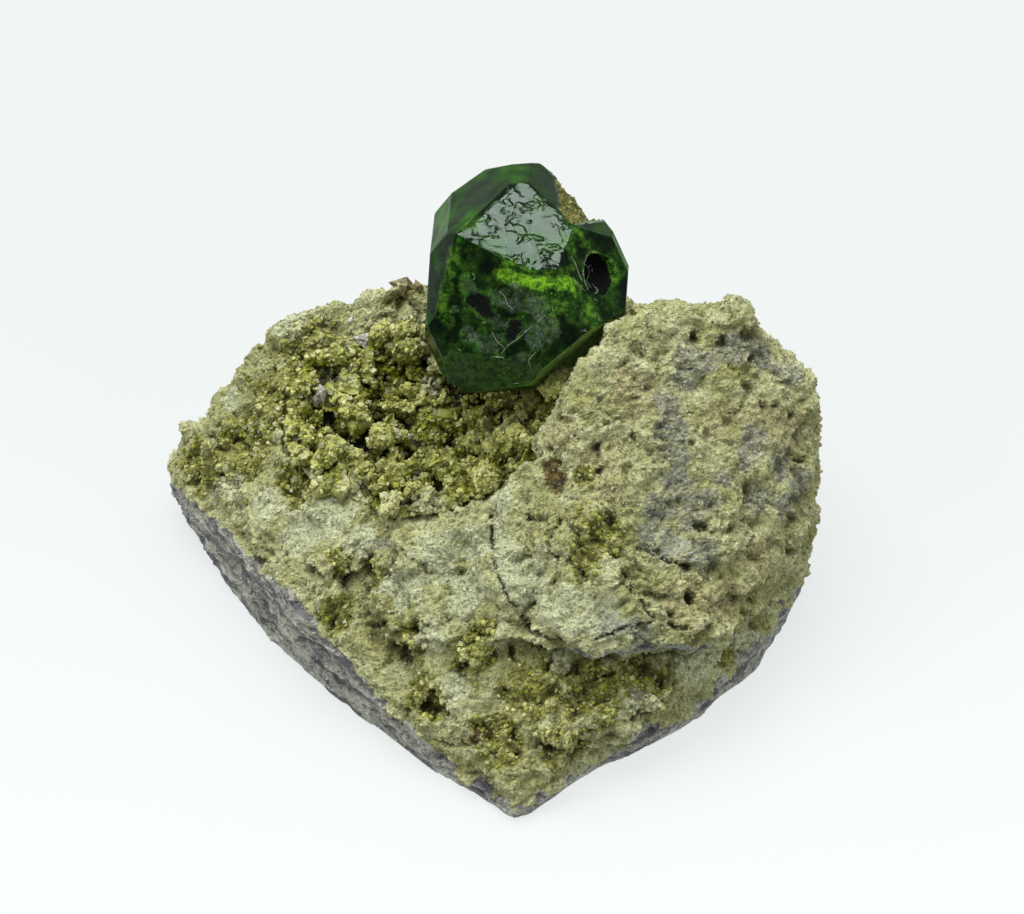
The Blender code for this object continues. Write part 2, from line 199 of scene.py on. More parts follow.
def warped(points, size, amount):
    shifts = (0.0, 17.3, 41.9)
    pushes = [fieldOf(points, size, noise.noise, shift) for shift in shifts]
    return points + np.stack(pushes, axis=1) * amount


def crumble(points, kind):
    # lumps with creases between them, crumbs on the lumps, grains on the crumbs, and pores
    creaseMean, cellMean, poreRim = 0.25, 0.4, (0.15, 0.5)
    crumbShift, poreShift = 5.1, 7.3  # so that the fields don't line up
    bent = warped(points, kind["warpSize"], kind["warp"])
    rise = fieldOf(points, kind["broadSize"], fractal) * kind["broad"]
    rise += (fieldOf(bent, kind["lumpSize"], crease) - creaseMean) * kind["lump"]
    rise += (fieldOf(bent, kind["crumbSize"], crease, crumbShift) - creaseMean) * kind["crumb"]
    rise += (cellMean - fieldOf(bent, kind["grainSize"], cells)) * kind["grain"]
    return rise - ramp(fieldOf(bent, kind["poreSize"], noise.noise, poreShift), *poreRim) * kind["pore"]


def ramp(values, low, high):
    # from 0 at low to 1 at high, with soft ends, and the other way round where high is the lower
    t = np.clip((values - low) / (high - low), 0, 1)
    return t * t * (3 - 2 * t)


def setMask(mesh, name, values):
    layer = mesh.attributes.get(name) or mesh.attributes.new(name, "FLOAT", "POINT")
    layer.data.foreach_set("value", values.astype(np.float32))


def openSide(mesh, low=0.0, high=0.25):
    # only what looks up or towards the front, where small crystals show
    upShare, frontShare = 0.8, 0.4
    facing = normalsOf(mesh)
    return ramp(facing[:, 2] * upShare - facing[:, 1] * frontShare, low, high)


def maskOf(piece, name):
    values = np.empty(len(piece.data.vertices), np.float32)
    piece.data.attributes[name].data.foreach_get("value", values)
    return values


def treeOf(*pieces):
    points, faces = [], []
    for piece in pieces:
        start = len(points)
        points += [v.co.copy() for v in piece.data.vertices]
        faces += [[start + i for i in p.vertices] for p in piece.data.polygons]
    return BVHTree.FromPolygons(points, faces)


def blobs(points, spots, tree, ragged=0.6):
    # how far a point lies inside round spots, given by pixel and radius in mm and laid on the stone
    shakeSize, reach, rim = 0.8, 1.5, (0.2, 0.9)
    shake = fieldOf(points, shakeSize, noise.noise) * ragged
    best = np.zeros(len(points))
    for x, y, radius in spots:
        hit = tree.ray_cast(eye, photoRay(x, y))[0]
        if hit is None:
            continue
        away = np.linalg.norm(points - np.array(hit) / mm, axis=1)
        best = np.maximum(best, ramp(reach - away / radius + shake, *rim))
    return best


# Shader helper: sockets that add and multiply

class Term:
    def __init__(self, sheet, socket):
        self.sheet = sheet
        self.socket = socket

    def maths(self, operation, *values):
        return self.sheet.add("ShaderNodeMath", {"operation": operation}, dict(enumerate(values)))

    def __add__(self, other):
        return self.maths("ADD", self, other)

    __radd__ = __add__

    def __sub__(self, other):
        return self.maths("SUBTRACT", self, other)

    def __rsub__(self, other):
        return self.maths("SUBTRACT", other, self)

    def __mul__(self, other):
        return self.maths("MULTIPLY", self, other)

    __rmul__ = __mul__


class Sheet:
    # the nodes of one material, or of the world
    def __init__(self, owner, place="Object"):
        self.owner = owner
        owner.use_nodes = True
        self.tree = owner.node_tree
        self.place = self.add("ShaderNodeTexCoord", output=place)

    def add(self, kind, settings=None, inputs=None, output=0):
        node = self.tree.nodes.new(kind)
        for name, value in (settings or {}).items():
            if name == "stops":
                self.setStops(node.color_ramp, value)
            else:
                setattr(node, name, value)
        for name, value in (inputs or {}).items():
            self.feed(node.inputs[name], value)
        return Term(self, node.outputs[output])

    def setStops(self, ramp, stops):
        while len(ramp.elements) < len(stops):
            ramp.elements.new(0.5)
        for element, (position, colour) in zip(ramp.elements, stops):
            element.position = position
            element.color = (*colour, 1)

    def feed(self, socket, value):
        if isinstance(value, Term):
            self.tree.links.new(value.socket, socket)
        elif socket.type == "RGBA":
            socket.default_value = (*value, 1)
        else:
            socket.default_value = value

    def surface(self, **values):
        for name, value in values.items():
            self.feed(self.tree.nodes["Principled BSDF"].inputs[name.replace("_", " ")], value)

    def mask(self, name):
        return self.add("ShaderNodeAttribute", {"attribute_name": name}, output="Fac")

    def noise(self, perMm, detail=3, roughness=0.6, stretch=None, distortion=0.0):
        place = self.place
        if stretch:
            place = self.add("ShaderNodeMapping", None, {"Vector": place, "Scale": stretch})
        values = {"Vector": place, "Scale": perMm / mm, "Detail": detail, "Roughness": roughness,
                  "Distortion": distortion}
        return self.add("ShaderNodeTexNoise", None, values)

    def cells(self, perMm):
        return self.add("ShaderNodeTexVoronoi", None, {"Vector": self.place, "Scale": perMm / mm})

    def step(self, value, low, high, start=0.0, end=1.0):
        values = {"Value": value, "From Min": low, "From Max": high, "To Min": start, "To Max": end}
        return self.add("ShaderNodeMapRange", {"interpolation_type": "SMOOTHSTEP"}, values)

    def blend(self, factor, first, second, how="MIX"):
        settings = {"data_type": "RGBA", "blend_type": how}
        return self.add("ShaderNodeMix", settings, {0: factor, 6: first, 7: second}, 2)

    def twoTone(self, field, low, high, dark, light):
        return self.blend(self.step(field, low, high), rgb(*dark), rgb(*light))

    def wash(self, colour, field, low, high, share, picked):
        return self.blend(self.step(field, low, high, 0.0, share), colour, rgb(*picked))

    def bump(self, height, depth):
        return self.add("ShaderNodeBump", None, {"Height": height, "Distance": depth * mm})


def materialSheet(name):
    return Sheet(bpy.data.materials.new(name))


def rgb(*picked):
    # a colour picker's three values, 0 to 255, as linear light
    return tuple(((c / 255 + 0.055) / 1.055) ** 2.4 if c > 10 else c / 255 / 12.92 for c in picked)


# The rock

rock = {  # sizes and heights in mm
    "cell": 0.173, "soften": 3, "facingPasses": 12, "widePasses": 40, "hollowPasses": 14,
    "warp": 0.5, "warpSize": 1.1,
    "broad": 0.42, "broadSize": 2.8,
    "lump": 0.55, "lumpSize": 2.0,
    "crumb": 0.4, "crumbSize": 0.8,
    "grain": 0.34, "grainSize": 0.42,
    "pore": 0.45, "poreSize": 0.85,
    "calmSize": 4.5, "calmest": 0.5, "paleCalm": 0.5, "mossCalm": 0.8, "brokenLumps": 0.3,
    "streak": 0.3, "streakSize": 0.9,
    "layer": 0.3, "layerSize": 1.15, "layerWander": 0.9, "layerWanderSize": 2.2, "layerTop": (7.2, 6.2),
    "breakShake": 14, "breakShakeSize": 0.9, "breakBlur": (-4, 5),  # pixels, mm, pixels
    "crackDepth": 0.27, "crackWidth": 0.085, "rustDepth": 0.3,
    "mossLumps": 0.5, "restHeight": (0.02, 0.6),
}
druse = {
    "cell": 0.145, "soften": 2, "facingPasses": 6, "hollowPasses": 24, "swell": 0.15, "lowest": -0.75,
    "warp": 0.6, "warpSize": 0.9,
    "broad": 0.5, "broadSize": 2.2,
    "lump": 2.9, "lumpSize": 2.1,
    "crumb": 1.1, "crumbSize": 0.9,
    "grain": 0.3, "grainSize": 0.4,
    "pore": 0.6, "poreSize": 1.0,
}
# The upper edge of the fresh grey break along the foot of the rock, in pixels
breakEdge = ((150, 466), (197, 502), (244, 552), (301, 604), (355, 670), (386, 703), (450, 764),
             (516, 808), (560, 780), (600, 764), (640, 735), (690, 722), (705, 700), (740, 662),
             (775, 625), (800, 580), (830, 540))
# Patches of the rock's skin, by pixel and radius in mm
spots = {
    "grey": ((733, 345, 1.0), (700, 360, 1.0), (688, 374, 1.0), (668, 405, 0.9), (670, 430, 1.0),
             (675, 456, 1.0), (676, 482, 1.1), (660, 510, 1.0), (652, 530, 0.9), (668, 545, 1.0),
             (700, 555, 1.1), (690, 520, 0.9), (711, 500, 0.8), (725, 480, 0.6), (751, 440, 0.9),
             (745, 462, 0.7), (783, 462, 1.0), (796, 486, 1.0), (785, 503, 0.8), (762, 500, 0.7),
             (765, 352, 1.0), (790, 372, 0.8), (640, 632, 0.8), (612, 628, 0.7), (640, 692, 0.7),
             (215, 490, 0.6), (380, 545, 0.5)),
    "pale": ((440, 560, 1.4), (480, 545, 1.4), (520, 580, 1.5), (560, 610, 1.4), (600, 620, 1.2),
             (400, 590, 1.2), (470, 590, 1.3), (505, 560, 1.0), (700, 662, 1.4), (745, 640, 1.0),
             (330, 520, 1.4), (300, 532, 1.2), (360, 540, 1.0), (265, 510, 1.1), (230, 488, 0.8),
             (290, 322, 0.9), (430, 640, 0.9), (455, 690, 0.8), (500, 500, 0.9), (640, 700, 0.9),
             (560, 660, 0.7), (230, 400, 0.8)),
    "rust": ((556, 482, 0.75), (550, 468, 0.5), (482, 736, 0.6), (472, 743, 0.4), (600, 470, 0.25),
             (690, 600, 0.3)),
    "ochre": ((600, 470, 1.6), (640, 400, 1.6), (690, 600, 1.6), (730, 600, 1.4), (760, 420, 1.2),
              (790, 430, 1.2), (560, 440, 1.2), (720, 420, 1.0), (760, 560, 1.2)),
    "moss": ((600, 530, 1.2), (585, 560, 1.0), (540, 690, 1.8), (590, 690, 1.8), (640, 685, 1.5),
             (470, 655, 1.2), (430, 700, 1.3), (240, 450, 2.0), (200, 468, 1.4), (280, 400, 2.0),
             (310, 350, 1.6), (335, 610, 1.0), (583, 476, 0.6), (500, 740, 1.3), (560, 750, 1.3),
             (300, 480, 1.4), (350, 440, 2.0), (735, 655, 0.8), (375, 570, 0.9), (340, 560, 0.8),
             (480, 630, 0.8), (410, 640, 0.9)),
}
cracks = (
    ((497, 492), (491, 520), (493, 552), (503, 590), (530, 632), (565, 648)),
    ((622, 572), (633, 590), (648, 612), (668, 624), (690, 630)),
    ((560, 520), (549, 545), (556, 565)),
    ((597, 640), (625, 629), (652, 622)),
    ((548, 412), (520, 455), (500, 488)),
    ((640, 548), (665, 560), (692, 566)),
    ((347, 558), (352, 575), (346, 590)),
)


def pixelsAlong(line, gap=7):
    # a line's own pixels and more between them, so that it stays on an uneven surface
    places = []
    for start, end in zip(line, line[1:]):
        count = max(1, round(math.dist(start, end) / gap))
        places += [Vector(start).lerp(Vector(end), i / count) for i in range(count)]
    return places + [Vector(line[-1])]


def alongLines(points, lines, tree, reach):
    # how close a point lies to lines given by pixels and laid on the stone
    waverSize, waver = 0.5, 0.18
    outer, inner = reach * 1.6, reach * 0.5
    best = np.zeros(len(points))
    bent = warped(points, waverSize, waver)
    for line in lines:
        hits = [tree.ray_cast(eye, photoRay(x, y))[0] for x, y in pixelsAlong(line)]
        places = [np.array(hit) / mm for hit in hits if hit]
        for start, end in zip(places, places[1:]):
            run = end - start
            share = np.clip((bent - start) @ run / (run @ run), 0, 1)
            away = np.linalg.norm(bent - start - share[:, None] * run, axis=1)
            best = np.maximum(best, ramp(away, outer, inner))
    return best


def freshBreak(mesh, points, facing):
    # where the grey break shows: below its ragged upper edge and underneath, but not at the back
    across, down = pixelsOf(points)
    edge = np.interp(across, *np.array(breakEdge, float).T)
    ragged = fieldOf(points, rock["breakShakeSize"], noise.noise) * rock["breakShake"]
    wide = smoothed(mesh, facing, rock["widePasses"])
    behind = ramp(wide[:, 1], 0.3, 0.55)
    below = ramp(wide[:, 2], -0.2, -0.5)
    return np.clip(ramp(down - edge + ragged, *rock["breakBlur"]) + below, 0, 1) * (1 - behind)


def bedding(points, facing, crust):
    # thin beds that step out along the front
    front = ramp(-facing[:, 1], 0.45, 0.8) * ramp(points[:, 2], *rock["layerTop"]) * crust
    wander = fieldOf(points, rock["layerWanderSize"], noise.noise) * rock["layerWander"]
    bed = (points[:, 2] + wander) / rock["layerSize"]
    return (bed % 1.0 - 0.5) * rock["layer"] * front


def shapeRock():
    piece, points, facing = fineCopy("matrix_rock", "matrix_surface", rock)
    mesh = piece.data
    broken = freshBreak(mesh, points, facing)
    crust = 1 - broken

    tree = treeOf(piece)
    for name, where in spots.items():
        setMask(mesh, name, blobs(points, where, tree) * crust)
    moss, rust = maskOf(piece, "moss"), maskOf(piece, "rust")
    crack = alongLines(points, cracks, tree, rock["crackWidth"])

    calm = rock["calmest"]
    lively = ramp(fieldOf(points, rock["calmSize"], fractal, 3.3), -0.35, 0.35) * (1 - calm) + calm
    lively *= 1 - rock["paleCalm"] * maskOf(piece, "pale")
    whole = rock["brokenLumps"] + (1 - rock["brokenLumps"]) * crust
    rise = crumble(points, rock) * lively * whole * (1 - rock["mossCalm"] * moss)
    mossRise = crumble(points, druse) * rock["mossLumps"] * moss
    rise += mossRise - crack * rock["crackDepth"] - rust * rock["rustDepth"]
    streaks = fieldOf(points, rock["streakSize"], ridges, stretch=(0.5, 0.5, 2.2)) - 1.2
    rise += streaks * rock["streak"] * broken
    rise += bedding(points, facing, crust)
    shaped = points + facing * (rise * ramp(points[:, 2], *rock["restHeight"]))[:, None]
    shaped[:, 2] = np.maximum(shaped[:, 2], 0)
    setPoints(mesh, shaped)
    setMask(mesh, "crack", crack)
    setMask(mesh, "broken", broken)
    # the relief that sets the painted shade in hollows and the painted highlights on crests
    setMask(mesh, "hollow", heightOver(mesh, shaped, facing, rock["hollowPasses"]))
    return piece


def heightOver(mesh, points, facing, passes):
    # how far each point stands above the mean of its surroundings, in mm
    return np.einsum("ij,ij->i", points - smoothed(mesh, points, passes), facing)


def stoneMaterial(name, grain=False):
    # the rock's skin, and its loose grains, each lighter or darker by its own tint, with painted shade in
    # hollows, pores and cracks and painted highlights on crests
    s = materialSheet(name)
    mottle = s.noise(0.42, 5, 0.65)
    fleck = s.noise(3.2, 5, 0.75)
    dust = s.noise(9.0, 3, 0.7)
    tan = s.twoTone(mottle, 0.38, 0.62, (164, 166, 108), (194, 196, 146))
    ochre = s.twoTone(fleck, 0.3, 0.7, (154, 149, 96), (196, 191, 140))
    olive = s.twoTone(fleck, 0.35, 0.65, (112, 112, 42), (164, 162, 84))
    pale = s.twoTone(fleck, 0.3, 0.7, (170, 176, 130), (208, 212, 174))
    fibre = s.noise(2.6, 5, 0.75, (0.5, 0.5, 1.6), 0.6)
    grey = s.twoTone(fibre, 0.36, 0.62, (84, 84, 86), (164, 166, 148))
    seam = s.noise(1.0, 5, 0.75, (0.45, 0.45, 1.6), 0.4)
    raw = s.twoTone(seam, 0.42, 0.58, (104, 102, 106), (182, 184, 170))
    rust = s.twoTone(fleck, 0.4, 0.6, (40, 28, 18), (128, 108, 48))
    green = s.step(s.noise(0.3, 4, 0.6) + (fleck - 0.5) * 0.3, 0.5, 0.62, 0.0, 0.6)
    colour = s.blend(green, tan, olive)
    layers = (
        ("ochre", ochre, 0.3, 1.0, 0.9), ("moss", olive, 0.25, 0.7, 0.9), ("pale", pale, 0.3, 0.9, 1.1),
        ("grey", grey, 0.05, 1.5, 3.6), ("broken", raw, 0.4, 0.6, 0.7), ("rust", rust, 0.25, 0.85, 2.3),
    )
    for mask, layer, low, high, ragged in layers:
        edge = s.mask(mask) + (fleck - 0.5) * ragged
        colour = s.blend(s.step(edge, low, high), colour, layer)
    depth = s.mask("hollow")
    # painted shade: darker in the hollows
    colour = s.wash(colour, depth, -0.05, -0.3, 0.8, (76, 76, 38))
    # painted highlight: lighter on the crests
    colour = s.wash(colour, depth, 0.05, 0.3, 0.4, (214, 212, 172))
    colour = s.wash(colour, dust, 0.56, 0.7, 0.6, (78, 76, 48))
    pores = s.step(s.cells(2.4), 0.3, 0.1) * s.step(s.noise(0.9, 3), 0.42, 0.56)
    # painted shade: the pores darker, as if in shadow
    colour = s.blend(pores * 0.55, colour, rgb(70, 68, 40))
    shade = s.step(s.noise(5.0, 4, 0.85), 0.36, 0.64, 0.7, 1.3)
    colour = s.blend(1.0, colour, shade, "MULTIPLY")
    if grain:
        tint = s.mask("tint")
        colour = s.wash(colour, tint, 0.35, 0.0, 0.55, (86, 82, 50))
        colour = s.wash(colour, tint, 0.6, 1.0, 0.6, (224, 222, 190))
    else:
        colour = s.wash(colour, s.cells(5.5), 0.16, 0.05, 0.45, (226, 224, 190))
        # painted shade: darker along the cracks
        colour = s.wash(colour, s.mask("crack"), 0.2, 0.8, 0.7, (50, 48, 28))
    height = fleck * 0.6 + dust * 0.4 - pores * 0.3 - s.cells(3.0) * 0.3
    s.surface(Base_Color=colour, Roughness=0.86, Normal=s.bump(height, 0.4))
    return s.owner


# The crust of small garnets

# Paler crumbs, by pixel and radius in mm
paleCrumbs = ((428, 330, 0.9), (437, 360, 0.8), (432, 386, 0.7), (250, 400, 1.2), (245, 440, 1.1),
              (270, 370, 0.9), (300, 322, 1.1), (340, 312, 0.8), (395, 500, 1.1), (430, 507, 0.9),
              (352, 490, 0.9), (310, 478, 0.9), (285, 430, 0.6), (350, 380, 0.4), (410, 440, 0.4),
              (520, 420, 0.5))


def shapeDruse():
    piece, points, facing = fineCopy("garnet_druse", "druse_ground", druse)
    mesh = piece.data
    rise = druse["swell"] + crumble(points, druse) * openSide(mesh, -0.2, 0.2)
    shaped = points + facing * np.maximum(rise, druse["lowest"])[:, None]
    setPoints(mesh, shaped)
    # the relief that sets the painted shade in hollows and the painted highlights on crests
    setMask(mesh, "hollow", heightOver(mesh, shaped, facing, druse["hollowPasses"]))
    setMask(mesh, "pale", blobs(shaped, paleCrumbs, treeOf(piece)))
    return piece


def druseMaterial(name, grain=False, **finish):
    # the crust's ground, and the crystals and crumbs that grow on it, tinted one by one, with painted shade
    # in the hollows and painted highlights on the crests
    s = materialSheet(name)
    fleck = s.noise(2.6, 4, 0.7)
    patch = s.noise(0.45, 2)
    dark = s.twoTone(patch, 0.4, 0.6, (82, 86, 6), (110, 112, 38))
    light = s.twoTone(patch, 0.4, 0.6, (150, 154, 30), (172, 174, 86))
    colour = s.blend(s.step(fleck, 0.35, 0.65), dark, light)
    ragged = s.mask("pale") + (fleck - 0.5) * 0.9
    pale = s.blend(fleck, rgb(146, 146, 98), rgb(190, 190, 146))
    colour = s.blend(s.step(ragged, 0.3, 0.8), colour, pale)
    depth = s.mask("hollow")
    # painted shade: darker in the hollows
    colour = s.wash(colour, depth, 0.03, -0.32, 0.92, (20, 22, 6))
    # painted highlight: lighter on the crests
    colour = s.wash(colour, depth, 0.1, 0.5, 0.45, (188, 188, 118))
    if grain:
        tint = s.mask("tint")
        colour = s.wash(colour, tint, 0.4, 0.0, 0.6, (56, 58, 14))
        colour = s.wash(colour, tint, 0.7, 1.0, 0.6, (206, 206, 146))
    s.surface(Base_Color=colour, Normal=s.bump(s.noise(5, 3), 0.12), **finish)
    return s.owner


# Small garnets and grains, grown over a surface by Geometry Nodes

def garnetShape():
    # a block with one pointed end
    bm = bmesh.new()
    corners = [(x, y, z) for x in (-1, 1) for y in (-1, 1) for z in (-1, 1)]
    for point in corners + [(0, 0, 2)]:
        bm.verts.new(Vector(point) / 2)
    bmesh.ops.convex_hull(bm, input=bm.verts)
    bmesh.ops.dissolve_limit(bm, verts=bm.verts, edges=bm.edges, angle_limit=math.radians(1))
    return newPiece("garnet shape", meshFrom(bm, "garnet shape"))


def lumpShape(name, sides):
    # an uneven grain of 20 faces, or a chip of 8
    bm = bmesh.new()
    if sides == 20:
        bmesh.ops.create_icosphere(bm, subdivisions=1, radius=1)
    else:
        for axis in range(3):
            for side in (-1, 1):
                bm.verts.new([side if i == axis else 0 for i in range(3)])
        bmesh.ops.convex_hull(bm, input=bm.verts)
    for vert in bm.verts:
        vert.co *= 1 + 0.5 * noise.noise(vert.co * 1.7 + Vector((0.3, 0.2, 0.1)))
    return newPiece(name, meshFrom(bm, name))


# In mm and per square mm, with sink and flattest as a share of the size
growInputs = ("Spacing", "Per area", "Smallest", "Largest", "Small share", "Sink", "Flattest", "Mask",
              "Seed", "Shape", "Finish")


def scatterTree():
    # shapes spread over a mask, each with a size, turn and tint of its own
    tree = bpy.data.node_groups.new("grown grains", "GeometryNodeTree")
    face = tree.interface
    face.new_socket(name="Geometry", in_out="OUTPUT", socket_type="NodeSocketGeometry")
    face.new_socket(name="Surface", in_out="INPUT", socket_type="NodeSocketGeometry")
    sockets = {}
    kinds = {"Shape": "Object", "Mask": "String", "Seed": "Int", "Finish": "Material"}
    for name in growInputs:
        kind = "NodeSocket" + kinds.get(name, "Float")
        sockets[name] = face.new_socket(name=name, in_out="INPUT", socket_type=kind).identifier
    made = {}

    def add(label, kind, inputs=None, **settings):
        node = tree.nodes.new(kind)
        for name, value in settings.items():
            setattr(node, name, value)
        for name, value in (inputs or {}).items():
            if isinstance(value, tuple) and isinstance(value[0], str):
                tree.links.new(made[value[0]].outputs[value[1]], node.inputs[name])
            else:
                node.inputs[name].default_value = value
        made[label] = node

    add("in", "NodeGroupInput")
    add("chance", "GeometryNodeInputNamedAttribute", {"Name": ("in", "Mask")})
    add("spread", "GeometryNodeDistributePointsOnFaces",
        {"Mesh": ("in", "Surface"), "Distance Min": ("in", "Spacing"), "Density Max": ("in", "Per area"),
         "Density Factor": ("chance", "Attribute"), "Seed": ("in", "Seed")}, distribute_method="POISSON")
    add("dice", "FunctionNodeRandomValue", {"Seed": ("in", "Seed")})
    add("lean", "ShaderNodeMath", {0: ("dice", "Value"), 1: ("in", "Small share")}, operation="POWER")
    add("size", "ShaderNodeMapRange",
        {"Value": ("lean", "Value"), "To Min": ("in", "Smallest"), "To Max": ("in", "Largest")})
    add("keep", "GeometryNodeStoreNamedAttribute",
        {"Geometry": ("spread", "Points"), "Name": "size", "Value": ("size", "Result")})
    add("sized", "GeometryNodeInputNamedAttribute", {"Name": "size"})
    add("sunk", "ShaderNodeMath", {0: ("sized", "Attribute"), 1: ("in", "Sink")}, operation="MULTIPLY")
    add("down", "ShaderNodeVectorMath",
        {0: ("spread", "Normal"), "Scale": ("sunk", "Value")}, operation="SCALE")
    add("move", "GeometryNodeSetPosition", {"Geometry": ("keep", "Geometry"), "Offset": ("down", "Vector")})
    add("turn", "FunctionNodeRandomValue",
        {"Max": (math.tau, math.tau, math.tau), "Seed": ("in", "Seed")}, data_type="FLOAT_VECTOR")
    add("least", "ShaderNodeCombineXYZ", {i: ("in", "Flattest") for i in range(3)})
    add("uneven", "FunctionNodeRandomValue",
        {"Min": ("least", "Vector"), "Max": (1, 1, 1), "Seed": ("in", "Seed")}, data_type="FLOAT_VECTOR")
    add("scale", "ShaderNodeVectorMath",
        {0: ("uneven", "Value"), "Scale": ("sized", "Attribute")}, operation="SCALE")
    add("shape", "GeometryNodeObjectInfo", {"Object": ("in", "Shape")}, transform_space="ORIGINAL")
    add("plant", "GeometryNodeInstanceOnPoints",
        {"Points": ("move", "Geometry"), "Instance": ("shape", "Geometry"), "Rotation": ("turn", "Value"),
         "Scale": ("scale", "Vector")})
    add("tone", "FunctionNodeRandomValue", {"Seed": 91})
    add("tint", "GeometryNodeStoreNamedAttribute",
        {"Geometry": ("plant", "Instances"), "Name": "tint", "Value": ("tone", "Value")},
        domain="INSTANCE")
    add("real", "GeometryNodeRealizeInstances", {"Geometry": ("tint", "Geometry")})
    add("paint", "GeometryNodeSetMaterial",
        {"Geometry": ("real", "Geometry"), "Material": ("in", "Finish")})
    add("out", "NodeGroupOutput", {"Geometry": ("paint", "Geometry")})
    return tree, sockets


growTree, growSockets = scatterTree()
growth = {
    "druse_garnets": (0.2, 12, 0.12, 0.36, 2.5, 0.1, 0.7, "druseChance", 3),
    "druse_crumbs": (0.13, 22, 0.07, 0.24, 2.2, 0.1, 0.5, "druseChance", 8),
    "moss_garnets": (0.2, 9, 0.1, 0.3, 2.5, 0.1, 0.6, "mossChance", 4),
    "moss_crumbs": (0.14, 18, 0.07, 0.22, 2.2, 0.1, 0.5, "mossChance", 6),
    "rock_grains": (0.17, 28, 0.045, 0.17, 1.8, 0.05, 0.5, "grainChance", 5),
    "rock_crumbs": (0.13, 28, 0.045, 0.1, 1.8, 0.05, 0.5, "grainChance", 7),
    # painted glow: bright chips inside the crystal
    "inner_flakes": (0.07, 60, 0.025, 0.08, 1.8, -2.2, 0.3, "flakeChance", 11),
    "scar_grains": (0.1, 45, 0.05, 0.2, 1.8, -0.1, 0.5, "scarChance", 12),
}


def grow(name, surface, shape, finish):
    bed = newPiece("bed", surface.data)
    step = bed.modifiers.new("grow", "NODES")
    step.node_group = growTree
    for label, value in zip(growInputs, (*growth[name], shape, finish)):
        if label in ("Spacing", "Smallest", "Largest"):
            value *= mm
        if label == "Per area":
            value /= mm * mm
        step[growSockets[label]] = value
    mesh = evaluatedMesh(bed)
    bpy.data.objects.remove(bed)
    mesh.name = name
    piece = newPiece(name, mesh)
    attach(piece, "root")
    print("  ", name, len(mesh.polygons), "faces")


def grainMaterial(name, stops, roughness):
    # each grain has a tint of its own, shifted by patches that many grains share
    s = materialSheet(name)
    place = s.mask("tint") * 0.75 + s.noise(0.55, 3) - 0.375
    colour = s.add("ShaderNodeValToRGB", {"stops": stops}, {"Fac": place}, "Color")
    s.surface(Base_Color=colour, Roughness=roughness)
    return s.owner


def mottledMaterial(name, perMm, dark, light, **finish):
    s = materialSheet(name)
    s.surface(Base_Color=s.twoTone(s.noise(perMm, 4), 0.4, 0.6, dark, light), **finish)
    return s


# Single bits that stand out in the crust and on the rim, by pixel and radius in mm

paleBits = ((366, 341, 0.6), (322, 394, 0.75), (318, 400, 0.5), (365, 455, 0.45), (398, 432, 0.35),
            (351, 321, 0.3))
brownBits = ((405, 287, 0.75), (418, 289, 0.7), (633, 313, 0.4), (556, 484, 0.26), (480, 737, 0.3))
bitStretch = (1.0, 0.75, 0.5)


def plantBits(name, where, shape, carrier, finish):
    bm = bmesh.new()
    for number, (x, y, radius) in enumerate(where):
        place = carrier.ray_cast(eye, photoRay(x, y))[0]
        # turns that are far apart, so that no two bits lie alike
        turn = Euler((number * 1.3 + 0.5, number * 0.7 + 0.4, number * 2.1)).to_matrix().to_4x4()
        size = Matrix.Diagonal((*(radius * mm * share for share in bitStretch), 1))
        mesh = shape.data.copy()
        mesh.transform(Matrix.Translation(place) @ turn @ size)
        bm.from_mesh(mesh)
        bpy.data.meshes.remove(mesh)
    mesh = meshFrom(bm, name)
    mesh.materials.append(finish)
    piece = newPiece(name, mesh)
    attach(piece, "root")


# The demantoid

